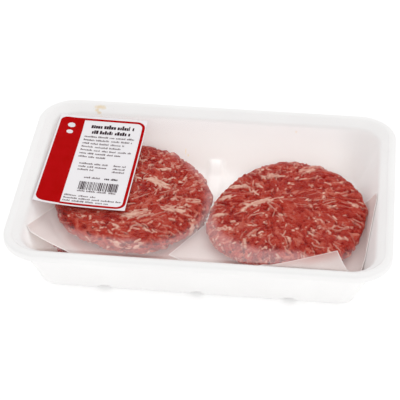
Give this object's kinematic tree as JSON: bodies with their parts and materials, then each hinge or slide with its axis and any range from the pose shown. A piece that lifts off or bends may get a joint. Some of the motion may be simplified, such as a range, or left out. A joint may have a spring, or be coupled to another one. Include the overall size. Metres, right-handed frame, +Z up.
{
  "type": "meat tray pack",
  "caption": "Sealed white foam supermarket tray of raw burger patties stacked between squares of paper, under clear film with a printed label.",
  "frame": {"origin": "middle of the tray's underside, on the surface it stands on", "axes": "+X along the long side, +Y towards the long side furthest from the viewer, +Z up"},
  "size_m": [0.243, 0.1728, 0.0417],
  "materials": {
    "foam": "fine-grained white foamed plastic, satin matte",
    "meat": "moist coarse ground beef with white fat flakes",
    "interleaf": "thin translucent paper, damp from the meat",
    "film": "clear glossy lidding film, slightly hazy off the meat",
    "label_stock": "coated white label paper with red and grey print fields"
  },
  "bodies": {
    "root": {"tray": "foam", "lower_patty_left": "meat", "lower_patty_right": "meat", "paper_left": "interleaf", "paper_right": "interleaf", "upper_patty_left": "meat", "upper_patty_right": "meat", "lid_film": "film", "label": "label_stock"}
  },
  "joints": []
}
